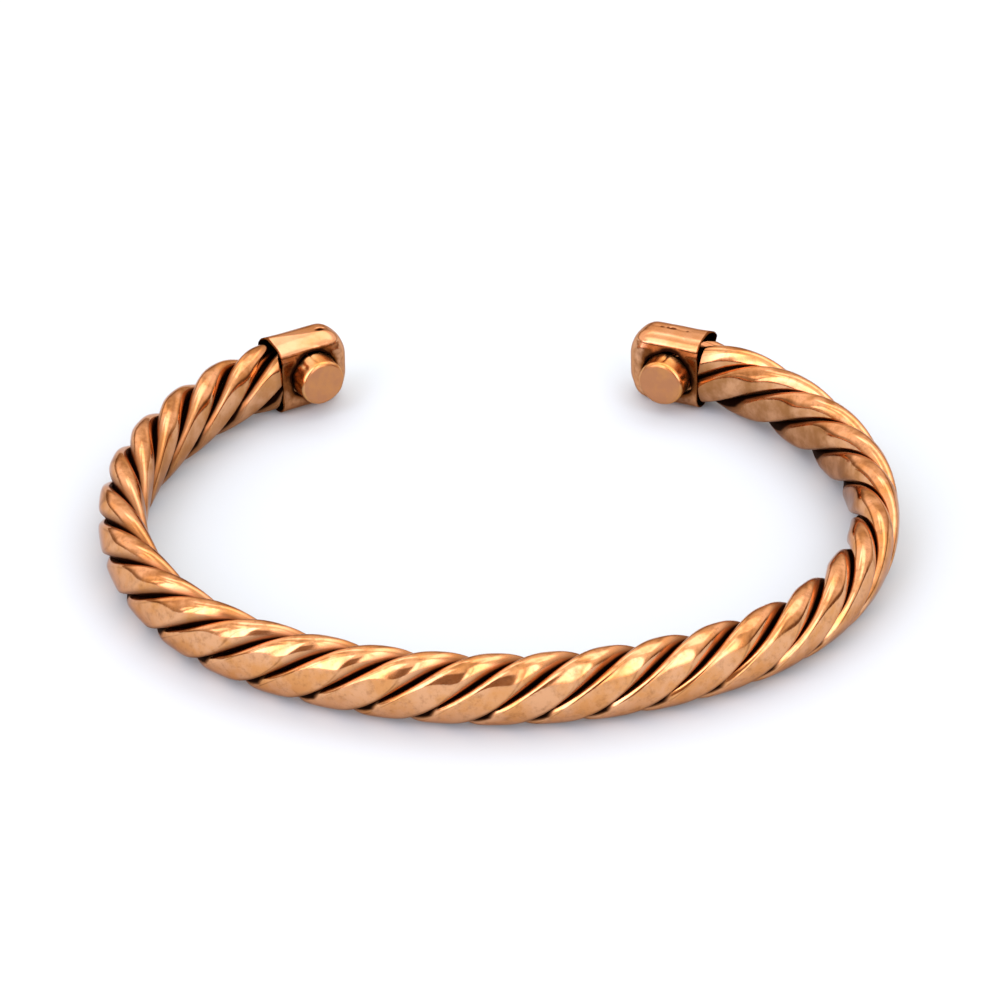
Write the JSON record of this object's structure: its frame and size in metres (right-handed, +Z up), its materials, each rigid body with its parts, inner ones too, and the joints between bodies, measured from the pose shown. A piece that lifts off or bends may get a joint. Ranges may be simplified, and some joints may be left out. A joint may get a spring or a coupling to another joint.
{
  "type": "magnetic cuff bracelet",
  "caption": "Open oval cuff of twisted and flattened round wires, with a sheet cap and a cased disc magnet facing the wrist at each end.",
  "frame": {"origin": "on the surface that the cuff lies on, under the middle of its plan", "axes": "+X to the right as seen from the front, across the wrist's width; +Y from the middle of the front towards the gap between the ends; +Z up, along the wearer's forearm"},
  "size_m": [0.0696, 0.057, 0.0072],
  "materials": {
    "copper_wire": "polished copper, darkened in the grooves between the wires",
    "copper_sheet": "polished copper sheet",
    "magnet_case": "satin copper face with a bright rim"
  },
  "bodies": {
    "root": {"wire_1": "copper_wire", "wire_2": "copper_wire", "wire_3": "copper_wire", "wire_4": "copper_wire", "end_cap_left": "copper_sheet", "end_cap_right": "copper_sheet", "magnet_left": "magnet_case", "magnet_right": "magnet_case"}
  },
  "joints": []
}
